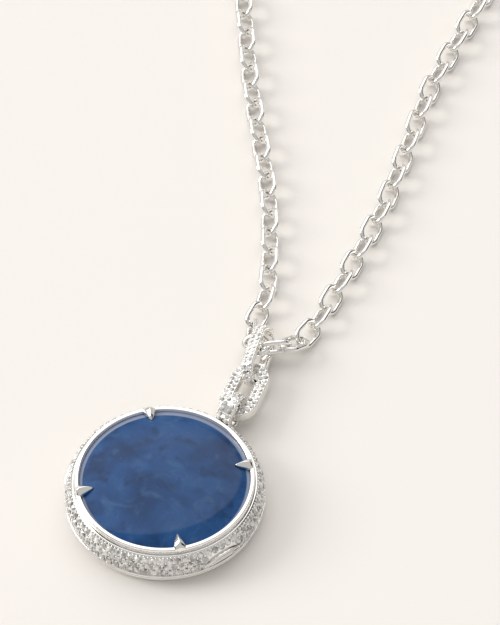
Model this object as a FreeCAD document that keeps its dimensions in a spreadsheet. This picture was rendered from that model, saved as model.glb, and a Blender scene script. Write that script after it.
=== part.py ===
# Pendant necklace: a round cabochon pendant with a stone-set wall, hung by its
# tapered loop from an oval link and a bail on an oval-link chain with a lobster
# clasp. Millimetres. +Z is up from the table that the necklace lies on, +Y runs
# from the pendant towards the clasp, and the origin is the centre of the
# pendant's flat back.
import FreeCAD, Part
import math
import os

import Sketcher
from FreeCAD import Placement, Rotation, Vector

UP = Vector(0, 0, 1)

doc = FreeCAD.newDocument("pendant_necklace")
sheet = doc.addObject("Spreadsheet::Sheet", "sizes")

DRIVING_SIZES = (
    # pendant, turned parts: radii from its axis and heights above the table
    ("rim_radius_low", 12.85), ("rim_radius_high", 13.1), ("rim_height", 1.1),
    ("rim_inner_radius", 11.4), ("lip_radius", 13.35), ("lip_bottom", 1.12), ("lip_top", 1.63),
    ("gallery_height", 0.8), ("gallery_radius", 11.38), ("window_radius", 2.3),
    ("window_circle", 7.4), ("window_count", 8), ("wall_inner_radius", 12.0),
    ("wall_radius_1", 13.0), ("wall_height_1", 1.65), ("wall_radius_2", 13.05),
    ("wall_height_2", 2.75), ("wall_radius_3", 12.85), ("wall_height_3", 3.75),
    ("wall_radius_4", 12.35), ("wall_height_4", 4.7),
    ("bezel_outer_radius", 11.95), ("bezel_inner_radius", 11.3), ("bezel_top", 5.5),
    ("seat_inner_radius", 10.4), ("seat_bottom", 2.9), ("seat_top", 3.3),
    ("stone_radius", 11.25), ("layer_bottom", 3.32), ("layer_top", 3.98),
    ("cap_bottom", 4.0), ("cap_girdle", 5.05), ("cap_height", 7.2),
    # leaf-shaped bright strips let into the stone-set wall
    ("leaf_span", 20.0), ("leaf_angle", 109.0), ("leaf_bottom", 1.66), ("leaf_top", 2.35),
    ("leaf_inner_radius", 13.07), ("leaf_outer_radius", 13.5),
    # claws
    ("claw_count", 4), ("claw_base_radius", 11.92), ("claw_tip_radius", 9.45),
    ("claw_heel_radius", 11.28), ("claw_bottom", 5.52), ("claw_tip_low", 5.74),
    ("claw_tip_high", 5.86), ("claw_shoulder", 5.95), ("claw_crest", 6.3),
    ("claw_crest_radius", 10.5), ("claw_width", 2.1), ("claw_waist_radius", 10.9),
    ("claw_point_half_width", 0.1), ("cut_margin", 0.2),
    # small brilliants, the same cut in every piece
    ("melee_diameter", 1.05), ("melee_small", 0.78), ("melee_stands_proud", 0.42),
    ("melee_rest", 0.02), ("melee_per_row", 72), ("melee_spacing", 0.1),
    ("melee_gap_at_loop", 0.65), ("melee_gap_at_leaf", 0.6),
    # loop on the pendant's edge
    ("loop_reach", 15.85), ("loop_height", 2.65), ("loop_radius", 2.55), ("loop_hole", 1.6),
    ("loop_half_width", 1.15), ("loop_front_half_width", 0.45), ("loop_clearance_radius", 13.42),
    ("loop_taper_start", 14.6), ("loop_first_stone_angle", -18.0), ("loop_stone_places", 7),
    ("loop_single_places", 4), ("loop_stone_offset", 0.5),
    # oval link
    ("oval_length", 9.4), ("oval_width", 5.3), ("oval_arm", 1.6), ("oval_thickness", 1.28),
    ("oval_edge", 0.25), ("oval_centre_x", 10.74), ("oval_centre_y", 16.44),
    ("oval_centre_z", 2.33), ("oval_heading", 66.6), ("oval_lean", 7.0),
    ("oval_outer_inset", 0.41), ("oval_inner_inset", 1.22),
    # bail
    ("bail_length", 9.3), ("bail_depth", 4.8), ("bail_band", 0.75), ("bail_width", 1.6),
    ("bail_edge", 0.15), ("bail_centre_x", 12.71), ("bail_centre_y", 22.37),
    ("bail_centre_z", 2.56), ("bail_heading", 73.0), ("bail_lean", 20.0),
    ("bail_stone", 0.67), ("bail_stone_offset", 0.38), ("bail_stone_spacing", 0.14),
    ("bail_bare_below", -0.3), ("bail_hinge_y", 1.2),
    # chain
    ("chain_wire", 0.7), ("link_length", 4.9), ("link_width", 3.4), ("link_slack", 0.1),
    ("link_roll", 45.0),
    # jump rings, end ring and lobster clasp
    ("jump_ring_diameter", 3.6), ("jump_ring_wire", 0.6), ("end_ring_diameter", 5.4),
    ("end_ring_wire", 0.8), ("clasp_thickness", 1.8), ("clasp_half_width", 2.6),
    ("clasp_nose", 4.2), ("clasp_heel", -1.2), ("clasp_hole_half_width", 1.3),
    ("clasp_hole_nose", 3.7), ("clasp_hole_heel", 0.6), ("clasp_mouth_near", 1.0),
    ("clasp_mouth_far", 3.9), ("clasp_tail_reach", 5.2), ("clasp_tail_half_width", 1.6),
    ("clasp_tail_root", -3.0), ("clasp_mouth_top", -0.9), ("clasp_slot_end", -2.0),
    ("clasp_slot_top", -0.95),
    ("clasp_eyelet_radius", 1.1), ("clasp_eyelet_thickness", 0.8), ("clasp_slot", 1.24),
    ("clasp_pin_radius", 0.3), ("clasp_pin_clearance", 0.01), ("clasp_pin_x", -0.1), ("clasp_pin_y", -1.75),
    ("lever_thickness", 1.1), ("lever_half_width", 0.5), ("lever_bore", 0.35),
    ("lever_tip_gap", 0.12), ("lever_heel_drop", 1.5), ("lever_heel_reach", 1.3),
    ("clasp_lift", 0.3), ("spring_wire", 0.16), ("spring_radius", 0.34),
    ("spring_x", -1.52), ("spring_y", -1.8), ("spring_pitch", 0.22), ("spring_length", 0.66),
)
for sheet_row, (alias, number) in enumerate(DRIVING_SIZES, 1):
    sheet.set("A%d" % sheet_row, alias)
    sheet.set("B%d" % sheet_row, str(number))
    sheet.setAlias("B%d" % sheet_row, alias)
doc.recompute()


class Size:
    """A length with the spreadsheet expression that it comes from."""

    def __init__(self, value, text):
        self.value = value
        self.text = text

    def __add__(self, other):
        other = as_size(other)
        return Size(self.value + other.value, "(%s + %s)" % (self.text, other.text))

    def __sub__(self, other):
        other = as_size(other)
        return Size(self.value - other.value, "(%s - %s)" % (self.text, other.text))

    def __mul__(self, other):
        other = as_size(other)
        return Size(self.value * other.value, "(%s * %s)" % (self.text, other.text))

    def __neg__(self):
        return Size(-self.value, "(0 - %s)" % self.text)


def as_size(value):
    return value if isinstance(value, Size) else Size(float(value), repr(value))


def cell(alias):
    return Size(float(sheet.get(alias)), "sizes." + alias)


def number_of(alias):
    return cell(alias).value


def new_body(label):
    body = doc.addObject("PartDesign::Body", label)
    body.Label = label
    return body


def sketch_on(body, role):
    """An empty sketch on one of the body's own origin planes."""
    plane = [item for item in body.Origin.OriginFeatures if item.Role == role][0]
    sketch = body.newObject("Sketcher::SketchObject", body.Label + "_sketch")
    sketch.AttachmentSupport = [(plane, "")]
    sketch.MapMode = "FlatFace"
    return sketch


def bind(sketch, kind, geometry, point, length):
    """Hold one point of a sketch at a distance from the origin, signed."""
    if abs(length.value) < 1e-9:
        axis = -2 if kind == "DistanceX" else -1
        sketch.addConstraint(Sketcher.Constraint("PointOnObject", geometry, point, axis))
        return
    index = sketch.addConstraint(
        Sketcher.Constraint(kind, -1, 1, geometry, point, length.value))
    sketch.setExpression("Constraints[%d]" % index, length.text)


def add_outline(sketch, corners):
    """A closed outline of straight lines through corners given as (x, y) sizes."""
    corners = [(as_size(x), as_size(y)) for x, y in corners]
    first = sketch.GeometryCount
    count = len(corners)
    for place, (x, y) in enumerate(corners):
        next_x, next_y = corners[(place + 1) % count]
        line = Part.LineSegment(Vector(x.value, y.value, 0), Vector(next_x.value, next_y.value, 0))
        sketch.addGeometry(line, False)
    for place in range(count):
        following = first + (place + 1) % count
        sketch.addConstraint(Sketcher.Constraint("Coincident", first + place, 2, following, 1))
    for place, (x, y) in enumerate(corners):
        bind(sketch, "DistanceX", first + place, 1, x)
        bind(sketch, "DistanceY", first + place, 1, y)


def add_circle(sketch, x, y, radius):
    x, y, radius = as_size(x), as_size(y), as_size(radius)
    circle = Part.Circle(Vector(x.value, y.value, 0), UP, radius.value)
    geometry = sketch.addGeometry(circle, False)
    bind(sketch, "DistanceX", geometry, 3, x)
    bind(sketch, "DistanceY", geometry, 3, y)
    index = sketch.addConstraint(Sketcher.Constraint("Radius", geometry, radius.value))
    sketch.setExpression("Constraints[%d]" % index, radius.text)


def add_stadium(sketch, half_straight, radius, along_x):
    """A slot outline about the origin: two half circles joined by straight sides."""
    reach, bend = half_straight.value, radius.value

    def spot(along, across):
        return Vector(along, across, 0) if along_x else Vector(across, along, 0)

    turn = 0.0 if along_x else math.pi / 2
    ends = []
    for side in (1, -1):
        start = turn - math.pi / 2 + (0 if side > 0 else math.pi)
        circle = Part.Circle(spot(side * reach, 0), UP, bend)
        ends.append(sketch.addGeometry(Part.ArcOfCircle(circle, start, start + math.pi), False))
    sides = []
    for here, there in ((ends[0], ends[1]), (ends[1], ends[0])):
        line = Part.LineSegment(sketch.getPoint(here, 2), sketch.getPoint(there, 1))
        side = sketch.addGeometry(line, False)
        sides.append(side)
        sketch.addConstraint(Sketcher.Constraint("Tangent", here, 2, side, 1))
        sketch.addConstraint(Sketcher.Constraint("Tangent", side, 2, there, 1))
    kind, other = ("DistanceX", "DistanceY") if along_x else ("DistanceY", "DistanceX")
    zero = as_size(0)
    bind(sketch, kind, ends[0], 3, half_straight)
    bind(sketch, kind, ends[1], 3, -half_straight)
    bind(sketch, other, ends[0], 3, zero)
    bind(sketch, other, ends[1], 3, zero)
    index = sketch.addConstraint(Sketcher.Constraint("Radius", ends[0], bend))
    sketch.setExpression("Constraints[%d]" % index, radius.text)


def turned(label, outline, angle=None):
    """A body of revolution about Z from an outline of (radius, height) sizes."""
    body = new_body(label)
    sketch = sketch_on(body, "XZ_Plane")
    add_outline(sketch, outline)
    turning = body.newObject("PartDesign::Revolution", label + "_turning")
    turning.Profile = sketch
    turning.ReferenceAxis = (sketch, ["V_Axis"])
    turning.Angle = 360
    if angle is not None:
        turning.setExpression("Angle", angle.text)
    return body


def pad(body, sketch, length, both_ways=False):
    feature = body.newObject("PartDesign::Pad", body.Label + "_pad")
    feature.Profile = sketch
    feature.setExpression("Length", length.text)
    if both_ways:
        feature.SideType = "Symmetric"
    return feature


def pocket_through(body, sketch):
    feature = body.newObject("PartDesign::Pocket", body.Label + "_pocket")
    feature.Profile = sketch
    feature.Type = "ThroughAll"
    feature.SideType = "Symmetric"
    return feature


# ---------------------------------------------------------------- frames
# The pendant lies turned on the table, with its loop towards the bail.
PENDANT_HEADING = 55.0
pendant_frame = Placement(Vector(0, 0, 0), Rotation(UP, PENDANT_HEADING - 90))


def leaning_frame(name):
    """Frame of a ring whose long side is Y, leaning about that long side."""
    centre = Vector(*[number_of("%s_centre_%s" % (name, axis)) for axis in "xyz"])
    heading = Rotation(UP, number_of(name + "_heading") - 90)
    lean = Rotation(Vector(0, 1, 0), -number_of(name + "_lean"))
    return Placement(centre, heading.multiply(lean))


oval_frame = leaning_frame("oval")
bail_frame = leaning_frame("bail")


# ---------------------------------------------------------------- pendant
def build_turned_parts():
    zero = as_size(0)
    rim_inner = cell("rim_inner_radius")
    turned("base_rim", [(rim_inner, zero), (cell("rim_radius_low"), zero),
                        (cell("rim_radius_high"), cell("rim_height")),
                        (rim_inner, cell("rim_height"))])
    inner = cell("wall_inner_radius")
    turned("rim_lip", [(inner, cell("lip_bottom")), (cell("lip_radius"), cell("lip_bottom")),
                       (cell("lip_radius"), cell("lip_top")), (inner, cell("lip_top"))])
    wall = [(inner, cell("wall_height_1"))]
    wall += [(cell("wall_radius_%d" % step), cell("wall_height_%d" % step)) for step in (1, 2, 3, 4)]
    wall += [(inner, cell("wall_height_4"))]
    turned("halo_frame", wall)
    outer = cell("bezel_outer_radius")
    turned("bezel_ring", [(cell("seat_inner_radius"), cell("seat_bottom")),
                          (outer, cell("seat_bottom")), (outer, cell("bezel_top")),
                          (cell("bezel_inner_radius"), cell("bezel_top")),
                          (cell("bezel_inner_radius"), cell("seat_top")),
                          (cell("seat_inner_radius"), cell("seat_top"))])
    stone = cell("stone_radius")
    turned("cabochon_layer", [(zero, cell("layer_bottom")), (stone, cell("layer_bottom")),
                              (stone, cell("layer_top")), (zero, cell("layer_top"))])
    for side, angle in (("right", -number_of("leaf_angle")), ("left", number_of("leaf_angle"))):
        leaf = turned("leaf_" + side, [
            (cell("leaf_inner_radius"), cell("leaf_bottom")),
            (cell("leaf_outer_radius"), cell("leaf_bottom")),
            (cell("leaf_outer_radius"), cell("leaf_top")),
            (cell("leaf_inner_radius"), cell("leaf_top"))], cell("leaf_span"))
        start = 90 + angle - number_of("leaf_span") / 2
        leaf.Placement = Placement(Vector(0, 0, 0), Rotation(UP, PENDANT_HEADING - 90 + start))


def build_cabochon_cap():
    """Clear domed cap: a turned block whose top is an arc centred on the axis."""
    body = new_body("cabochon_cap")
    sketch = sketch_on(body, "XZ_Plane")
    radius, bottom = number_of("stone_radius"), number_of("cap_bottom")
    girdle, top = number_of("cap_girdle"), number_of("cap_height")
    rise = top - girdle
    dome_radius = (radius ** 2 + rise ** 2) / (2 * rise)
    half_angle = math.asin(radius / dome_radius)
    dome = Part.Circle(Vector(0, top - dome_radius, 0), UP, dome_radius)
    sketch.addGeometry([
        Part.LineSegment(Vector(0, bottom, 0), Vector(radius, bottom, 0)),
        Part.LineSegment(Vector(radius, bottom, 0), Vector(radius, girdle, 0)),
        Part.ArcOfCircle(dome, math.pi / 2 - half_angle, math.pi / 2),
        Part.LineSegment(Vector(0, top, 0), Vector(0, bottom, 0))], False)
    for pair in ((0, 2, 1, 1), (1, 2, 2, 1), (2, 2, 3, 1), (3, 2, 0, 1)):
        sketch.addConstraint(Sketcher.Constraint("Coincident", *pair))
    bind(sketch, "DistanceX", 0, 1, as_size(0))
    bind(sketch, "DistanceY", 0, 1, cell("cap_bottom"))
    bind(sketch, "DistanceX", 0, 2, cell("stone_radius"))
    bind(sketch, "DistanceY", 0, 2, cell("cap_bottom"))
    bind(sketch, "DistanceX", 1, 2, cell("stone_radius"))
    bind(sketch, "DistanceY", 1, 2, cell("cap_girdle"))
    bind(sketch, "DistanceX", 3, 1, as_size(0))
    bind(sketch, "DistanceY", 3, 1, cell("cap_height"))
    bind(sketch, "DistanceX", 2, 3, as_size(0))
    turning = body.newObject("PartDesign::Revolution", "cabochon_cap_turning")
    turning.Profile = sketch
    turning.ReferenceAxis = (sketch, ["V_Axis"])
    turning.Angle = 360


def build_back_gallery():
    """Pierced back: a disc with a ring of round windows about a solid middle."""
    body = new_body("back_gallery")
    disc = sketch_on(body, "XY_Plane")
    add_circle(disc, 0, 0, cell("gallery_radius"))
    pad(body, disc, cell("gallery_height"))
    window = sketch_on(body, "XY_Plane")
    add_circle(window, cell("window_circle"), 0, cell("window_radius"))
    piercing = pocket_through(body, window)
    pattern = body.newObject("PartDesign::PolarPattern", "windows")
    pattern.Originals = [piercing]
    pattern.Axis = (window, ["N_Axis"])
    pattern.Angle = 360
    pattern.setExpression("Occurrences", "sizes.window_count")
    body.Tip = pattern


def build_claws():
    """Talon claws: a hooked side profile cut to a pointed teardrop in plan."""
    half_width = cell("claw_width") * 0.5
    base, tip, waist = (cell("claw_%s_radius" % name) for name in ("base", "tip", "waist"))
    for place in range(int(number_of("claw_count"))):
        body = new_body("claw_%d" % (place + 1))
        profile = sketch_on(body, "XZ_Plane")
        add_outline(profile, [
            (base, cell("claw_bottom")), (base, cell("claw_shoulder")),
            (cell("claw_crest_radius"), cell("claw_crest")), (tip, cell("claw_tip_high")),
            (tip, cell("claw_tip_low")), (cell("claw_heel_radius"), cell("claw_bottom"))])
        pad(body, profile, cell("claw_width"), both_ways=True)
        plan = sketch_on(body, "XY_Plane")
        beyond_tip = tip - cell("cut_margin")
        for side in (1, -1):
            near, far = half_width * side, cell("claw_width") * side
            point = cell("claw_point_half_width") * side
            add_outline(plan, [(waist, near), (beyond_tip, point), (beyond_tip, far), (waist, far)])
        pocket_through(body, plan)
        angle = PENDANT_HEADING + 45 + 90 * place
        body.Placement = Placement(Vector(0, 0, 0), Rotation(UP, angle))


# ---------------------------------------------------------------- small brilliants
# Shares of the stone's radius (base, table) and of its height (girdle).
BASE_SHARE = 0.6
TABLE_SHARE = 0.58
GIRDLE_LOW_SHARE = 0.38
GIRDLE_HIGH_SHARE = 0.52


def brilliant(diameter):
    """One small round stone, resting on its cut-off base at the origin, table up."""
    half = diameter / 2
    height = number_of("melee_stands_proud")
    corners = [(0, 0), (half * BASE_SHARE, 0), (half, height * GIRDLE_LOW_SHARE),
               (half, height * GIRDLE_HIGH_SHARE), (half * TABLE_SHARE, height), (0, height),
               (0, 0)]
    outline = Part.makePolygon([Vector(radius, 0, level) for radius, level in corners])
    return Part.Face(outline).revolve(Vector(0, 0, 0), UP, 360)


def set_stones(label, frame, diameter, spots):
    """Group of stones, each at a spot of (position, outward normal) in the frame."""
    stone = brilliant(diameter)
    stones = []
    for position, normal in spots:
        seat = position + normal * number_of("melee_rest")
        copy = stone.copy()
        copy.Placement = frame.multiply(Placement(seat, Rotation(UP, normal)))
        stones.append(copy)
    group = doc.addObject("Part::Feature", label)
    group.Label = label
    group.Shape = Part.makeCompound(stones)


def wall_spots(row):
    """Spots round one sloping band of the wall, clear of the loop and the leaves."""
    low_radius, high_radius = (number_of("wall_radius_%d" % step) for step in (row, row + 1))
    low, high = (number_of("wall_height_%d" % step) for step in (row, row + 1))
    radius, height = (low_radius + high_radius) / 2, (low + high) / 2
    slope = math.atan2(low_radius - high_radius, high - low)
    per_row = int(number_of("melee_per_row"))
    loop_half = number_of("loop_half_width") + number_of("melee_gap_at_loop")
    loop_gap = math.degrees(loop_half / radius)
    leaf_gap = number_of("leaf_span") / 2 + math.degrees(number_of("melee_gap_at_leaf") / radius)
    spots = []
    for place in range(per_row):
        angle = (place + (row % 2) / 2) * 360 / per_row
        from_loop = abs((angle - 90 + 180) % 360 - 180)
        beside_leaf = abs(from_loop - number_of("leaf_angle")) < leaf_gap
        if from_loop < loop_gap or (row == 1 and beside_leaf):
            continue
        outward = Vector(math.cos(math.radians(angle)), math.sin(math.radians(angle)), 0)
        normal = outward * math.cos(slope) + UP * math.sin(slope)
        spots.append((outward * radius + UP * height, normal))
    return spots


def build_wall_stones():
    for row, name in ((1, "low"), (2, "middle"), (3, "high")):
        set_stones("wall_melee_" + name, pendant_frame, number_of("melee_diameter"),
                   wall_spots(row))


# ---------------------------------------------------------------- pendant loop
def build_pendant_loop():
    body = new_body("pendant_loop")
    side = sketch_on(body, "YZ_Plane")
    for radius in ("loop_radius", "loop_hole"):
        add_circle(side, cell("loop_reach"), cell("loop_height"), cell(radius))
    pad(body, side, cell("loop_half_width") * 2, both_ways=True)
    plan = sketch_on(body, "XY_Plane")
    add_circle(plan, 0, 0, cell("loop_clearance_radius"))
    pocket_through(body, plan)
    taper = sketch_on(body, "XY_Plane")
    wide, narrow = cell("loop_half_width"), cell("loop_front_half_width")
    start = cell("loop_taper_start")
    front = cell("loop_reach") + cell("loop_radius") + cell("cut_margin")
    for hand in (1, -1):
        beyond = (wide + cell("cut_margin")) * hand
        add_outline(taper, [(wide * hand, start), (narrow * hand, front), (beyond, front),
                            (beyond, start)])
    pocket_through(body, taper)
    body.Placement = pendant_frame


def build_loop_stones():
    """Two stones abreast where the band is wide, then one file to its front."""
    centre = Vector(0, number_of("loop_reach"), number_of("loop_height"))
    diameter = number_of("melee_small")
    step = (diameter + number_of("melee_spacing")) / number_of("loop_radius")
    first = math.radians(number_of("loop_first_stone_angle"))
    aside = number_of("loop_stone_offset")
    spots = []
    for place in range(int(number_of("loop_stone_places"))):
        angle = first + step * place
        normal = Vector(0, math.cos(angle), math.sin(angle))
        single = place < number_of("loop_single_places")
        for offset in (0.0,) if single else (-aside, aside):
            on_band = centre + normal * number_of("loop_radius") + Vector(offset, 0, 0)
            spots.append((on_band, normal))
    set_stones("loop_melee", pendant_frame, diameter, spots)


# ---------------------------------------------------------------- oval link and bail
def stadium_spot(distance, half_straight, bend):
    """Point and outward direction at a distance along a stadium with its length on Y."""
    side = 2 * half_straight
    around = 2 * side + 2 * math.pi * bend
    distance = distance % around
    if distance < side:
        return Vector(bend, distance - half_straight, 0), Vector(1, 0, 0)
    distance -= side
    if distance < math.pi * bend:
        turn = distance / bend
        out = Vector(math.cos(turn), math.sin(turn), 0)
        return Vector(0, half_straight, 0) + out * bend, out
    distance -= math.pi * bend
    if distance < side:
        return Vector(-bend, half_straight - distance, 0), Vector(-1, 0, 0)
    turn = math.pi + (distance - side) / bend
    out = Vector(math.cos(turn), math.sin(turn), 0)
    return Vector(0, -half_straight, 0) + out * bend, out


def stadium_length(half_straight, bend):
    return 4 * half_straight + 2 * math.pi * bend


def ring_body(label, role, along_x, length, width, band, thickness, edge, frame):
    """A stadium-shaped ring with eased edges, its length on its frame's Y."""
    body = new_body(label)
    sketch = sketch_on(body, role)
    half_straight = (length - width) * 0.5
    add_stadium(sketch, half_straight, width * 0.5, along_x)
    add_stadium(sketch, half_straight, width * 0.5 - band, along_x)
    ring = pad(body, sketch, thickness, both_ways=True)
    doc.recompute()
    easing = body.newObject("PartDesign::Fillet", label + "_edges")
    rims = ["Edge%d" % (place + 1) for place, rim in enumerate(ring.Shape.Edges)
            if abs(ring_axis(role).dot(rim.Vertexes[0].Point - rim.Vertexes[-1].Point)) < 1e-6]
    easing.Base = (ring, rims)
    easing.setExpression("Radius", edge.text)
    body.Tip = easing
    body.Placement = frame


def ring_axis(role):
    return UP if role == "XY_Plane" else Vector(1, 0, 0)


def build_oval_link():
    ring_body("middle_link", "XY_Plane", False, cell("oval_length"), cell("oval_width"),
              cell("oval_arm"), cell("oval_thickness"), cell("oval_edge"), oval_frame)
    diameter = number_of("melee_small")
    half_straight = (number_of("oval_length") - number_of("oval_width")) / 2
    level = number_of("oval_thickness") / 2
    spots = []
    for inset in (number_of("oval_outer_inset"), number_of("oval_inner_inset")):
        bend = number_of("oval_width") / 2 - inset
        around = stadium_length(half_straight, bend)
        count = int(around / (diameter + number_of("melee_spacing")))
        for place in range(count):
            point = stadium_spot(around * (place + inset) / count, half_straight, bend)[0]
            spots.append((point + UP * level, UP))
    set_stones("link_melee", oval_frame, diameter, spots)


def build_bail():
    ring_body("bail", "YZ_Plane", True, cell("bail_length"), cell("bail_depth"),
              cell("bail_band"), cell("bail_width"), cell("bail_edge"), bail_frame)
    diameter = number_of("bail_stone")
    half_straight = (number_of("bail_length") - number_of("bail_depth")) / 2
    bend = number_of("bail_depth") / 2
    around = stadium_length(half_straight, bend)
    count = int(around / (diameter + number_of("bail_stone_spacing")))
    aside = number_of("bail_stone_offset")
    spots = []
    for file_number, offset in enumerate((-aside, aside)):
        for place in range(count):
            spot, out = stadium_spot(around * (place + file_number / 2) / count, half_straight, bend)
            if out.x < number_of("bail_bare_below"):
                continue
            normal = Vector(0, out.y, out.x)
            spots.append((Vector(offset, spot.y, spot.x), normal))
    set_stones("bail_melee", bail_frame, diameter, spots)


# ---------------------------------------------------------------- chain
# Contact points that each side of the chain passes through, from beside the bail
# to its end. Past the strands that spread from the bail, the rest of the chain
# lies in an easy open loop, unfastened. Between the two sides four links turn
# through the bail, each rolled to clear its neighbours and the bail.
TURN_POINTS = ((11.7, 25.44, 2.25), (13.25, 23.28, 3.1), (16.5, 23.83, 2.8))
TURN_ROLLS = (65.4, 3.4, -78.9, -12.2)
LEFT_ROUTE = (
    (11.9, 28.7, 1.35), (13.4, 31.9, None), (14.4, 38.5, None),
    (14.6, 45.2, None), (14.5, 52.1, None), (13.8, 59.0, None), (13.0, 65.9, None),
    (12.3, 72.7, None), (11.9, 79.4, None), (11.6, 86.2, None), (9.5, 99.0, None),
    (-0.5, 110.0, None), (-9.5, 120.5, None), (-9.0, 135.0, None), (1.0, 146.0, None),
    (2.0, 160.0, None), (-6.0, 172.0, None), (-3.0, 185.5, None), (11.5, 190.0, None),
)
RIGHT_ROUTE = (
    (18.5, 25.7, 1.6), (20.4, 28.4, None), (22.1, 31.7, None), (25.2, 37.9, None),
 (28.1, 44.1, None), (30.8, 50.4, None), (33.0, 56.9, None),
    (35.1, 63.3, None), (37.2, 69.8, None), (39.9, 76.0, None), (42.9, 82.1, None),
    (45.8, 88.2, None), (50.5, 100.5, None), (55.5, 113.0, None), (54.0, 127.5, None),
    (47.0, 140.0, None), (45.5, 154.0, None), (50.5, 167.0, None), (48.5, 180.5, None),
    (54.0, 191.5, None), (63.5, 194.5, None),
)
LINKS_BESIDE_BAIL = 3
LINKS_IN_SECTION = 13
SECTIONS = 4
CURVE_STEP = 0.001


def link_height():
    """Height of a link's centre when it lies rolled over, touching the table."""
    wire = number_of("chain_wire")
    spread = (number_of("link_width") - wire) / 2
    return spread * math.sin(math.radians(number_of("link_roll"))) + wire / 2


def oval_wire_link(length, width, wire):
    """A closed oval of round wire about the origin, its length on X, lying in XY."""
    bend = (width - wire) / 2
    straight = length - width
    pieces = []
    for side, start in ((1, -90), (-1, 90)):
        end = Part.makeTorus(bend, wire / 2, Vector(0, 0, 0), UP, 0, 360, 180)
        end.Placement = Placement(Vector(side * straight / 2, 0, 0), Rotation(UP, start))
        pieces.append(end)
    if straight > 0:
        for side in (1, -1):
            corner = Vector(-straight / 2, side * bend, 0)
            pieces.append(Part.makeCylinder(wire / 2, straight, corner, Vector(1, 0, 0)))
    return pieces[0].multiFuse(pieces[1:]).removeSplitter()


def rolled_frame(start, end, roll):
    """Frame midway between two contact points: X along them, rolled about X."""
    along = (end - start).normalize()
    side = along.cross(UP).normalize()
    upright = side.cross(along)
    angle = math.radians(roll)
    normal = upright * math.cos(angle) + side * math.sin(angle)
    across = normal.cross(along)
    turned_to = FreeCAD.Matrix(along.x, across.x, normal.x, 0, along.y, across.y, normal.y, 0,
                               along.z, across.z, normal.z, 0, 0, 0, 0, 1)
    frame = Placement(turned_to)
    frame.Base = (start + end) * 0.5
    return frame


def contact_points(route, count):
    """Walk a smooth curve through the route in equal steps of one link pitch."""
    pitch = number_of("link_length") - 2 * number_of("chain_wire") - number_of("link_slack")
    curve = Part.BSplineCurve()
    level = link_height()
    curve.interpolate([Vector(x, y, level if z is None else z) for x, y, z in route])
    points = [curve.value(curve.FirstParameter)]
    low = curve.FirstParameter
    for _ in range(count):
        high = low
        while (curve.value(high) - points[-1]).Length < pitch:
            high += CURVE_STEP
        assert high <= curve.LastParameter, "the route is too short for its links"
        points.append(curve.value(high))
        low = high
    return points


def build_chain():
    """Place every link between two contact points, rolled left and right by turns."""
    link = oval_wire_link(number_of("link_length"), number_of("link_width"),
                          number_of("chain_wire"))
    roll = number_of("link_roll")
    count = LINKS_BESIDE_BAIL + LINKS_IN_SECTION * SECTIONS
    walks = {"left": contact_points(LEFT_ROUTE, count),
             "right": contact_points(RIGHT_ROUTE, count)}
    turn = [walks["left"][0]] + [Vector(*point) for point in TURN_POINTS] + [walks["right"][0]]
    groups = {"chain_centre": []}
    for start, end, turn_roll in zip(turn, turn[1:], TURN_ROLLS):
        copy = link.copy()
        copy.Placement = rolled_frame(start, end, turn_roll)
        groups["chain_centre"].append(copy)
    for side, points in walks.items():
        for place in range(count):
            copy = link.copy()
            hand = 1 if place % 2 == 0 else -1
            copy.Placement = rolled_frame(points[place], points[place + 1], roll * hand)
            if place < LINKS_BESIDE_BAIL:
                label = "chain_centre"
            else:
                section = (place - LINKS_BESIDE_BAIL) // LINKS_IN_SECTION + 1
                label = "chain_%s_%d" % (side, section)
            groups.setdefault(label, []).append(copy)
        for section in range(SECTIONS):
            bend = points[LINKS_BESIDE_BAIL + section * LINKS_IN_SECTION]
            print("bend", side, section + 1, [round(value, 3) for value in bend])
    for label, links in groups.items():
        group = doc.addObject("Part::Feature", label)
        group.Label = label
        group.Shape = Part.makeCompound(links)
    return walks


# ---------------------------------------------------------------- ends and clasp
def build_ring(label, diameter, wire, frame):
    ring = doc.addObject("Part::Torus", label)
    ring.Label = label
    ring.setExpression("Radius1", "(sizes.%s - sizes.%s) / 2" % (diameter, wire))
    ring.setExpression("Radius2", "sizes.%s / 2" % wire)
    ring.Placement = frame
    return ring


def end_ring_frame(points, diameter, wire):
    """Frame of a ring that carries on from a side's last link, tilted to its height."""
    heading = points[-1] - points[-2]
    heading.z = 0
    heading.normalize()
    reach = (diameter - wire) / 2
    roll = math.degrees(math.asin((link_height() - wire / 2) / reach))
    past_contact = (number_of("chain_wire") + number_of("link_slack")) / 2
    gap = (number_of("chain_wire") + wire) / 2 + number_of("link_slack")
    centre = points[-1] + heading * (past_contact - gap + reach)
    centre.z = link_height()
    return rolled_frame(centre - heading, centre + heading, -roll)


def clasp_outline(sketch, half_width, nose, heel):
    """Rounded hull of the clasp: a stadium drawn between its heel and its nose."""
    half_straight = (nose - heel) * 0.5
    middle = (nose + heel) * 0.5
    bend = half_width.value
    reach = half_straight.value
    centre = middle.value
    for side in (1, -1):
        start = -math.pi / 2 if side > 0 else math.pi / 2
        circle = Part.Circle(Vector(centre + side * reach, 0, 0), UP, bend)
        sketch.addGeometry(Part.ArcOfCircle(circle, start, start + math.pi), False)
    first = sketch.GeometryCount - 2
    second = first + 1
    for here, there in ((first, second), (second, first)):
        line = Part.LineSegment(sketch.getPoint(here, 2), sketch.getPoint(there, 1))
        side = sketch.addGeometry(line, False)
        sketch.addConstraint(Sketcher.Constraint("Tangent", here, 2, side, 1))
        sketch.addConstraint(Sketcher.Constraint("Tangent", side, 2, there, 1))
    bind(sketch, "DistanceX", first, 3, nose)
    bind(sketch, "DistanceX", second, 3, heel)
    bind(sketch, "DistanceY", first, 3, as_size(0))
    bind(sketch, "DistanceY", second, 3, as_size(0))
    index = sketch.addConstraint(Sketcher.Constraint("Radius", first, half_width.value))
    sketch.setExpression("Constraints[%d]" % index, half_width.text)


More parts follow.
